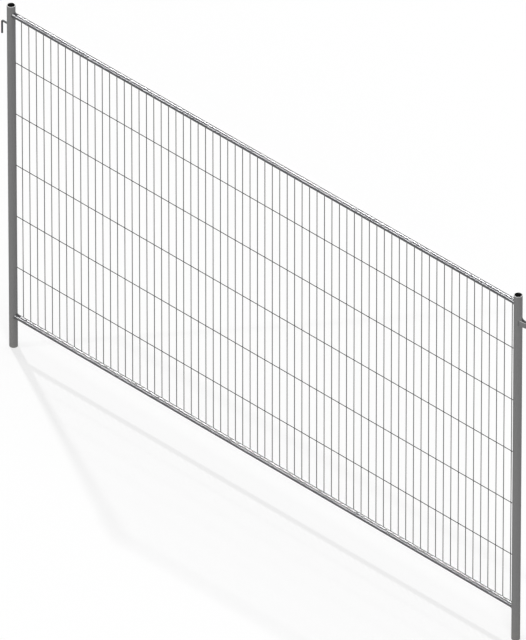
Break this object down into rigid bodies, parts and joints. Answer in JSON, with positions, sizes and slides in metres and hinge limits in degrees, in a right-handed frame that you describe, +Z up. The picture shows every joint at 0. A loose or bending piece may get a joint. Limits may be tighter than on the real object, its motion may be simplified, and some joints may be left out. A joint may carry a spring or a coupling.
{
  "type": "temporary fence panel",
  "caption": "Site fence panel: tube posts and rails with welded wire mesh behind the rails, a drop hook on one post and a strap eye on the other.",
  "frame": {"origin": "centre of the left post's foot, on the plane that the two posts stand on", "axes": "+X along the panel from the hook's post to the eye's post, +Y to the side that carries the wires, +Z up"},
  "size_m": [3.5358, 0.0422, 2],
  "materials": {
    "tube": "hot-dip galvanised, matt grey",
    "rail_tube": "galvanised tube, satin",
    "wire": "galvanised drawn wire, satin",
    "fittings": "galvanised bar, matt grey",
    "weld": "galvanised over weld bead"
  },
  "bodies": {
    "root": {"left_post": "tube", "right_post": "tube", "top_rail": "rail_tube", "bottom_rail": "rail_tube", "wire_mesh": "wire", "hook": "fittings", "eye": "fittings", "top_left_weld": "weld", "top_right_weld": "weld", "bottom_left_weld": "weld", "bottom_right_weld": "weld", "left_wire_welds": "weld", "right_wire_welds": "weld", "hook_weld": "weld", "eye_weld": "weld"}
  },
  "joints": []
}
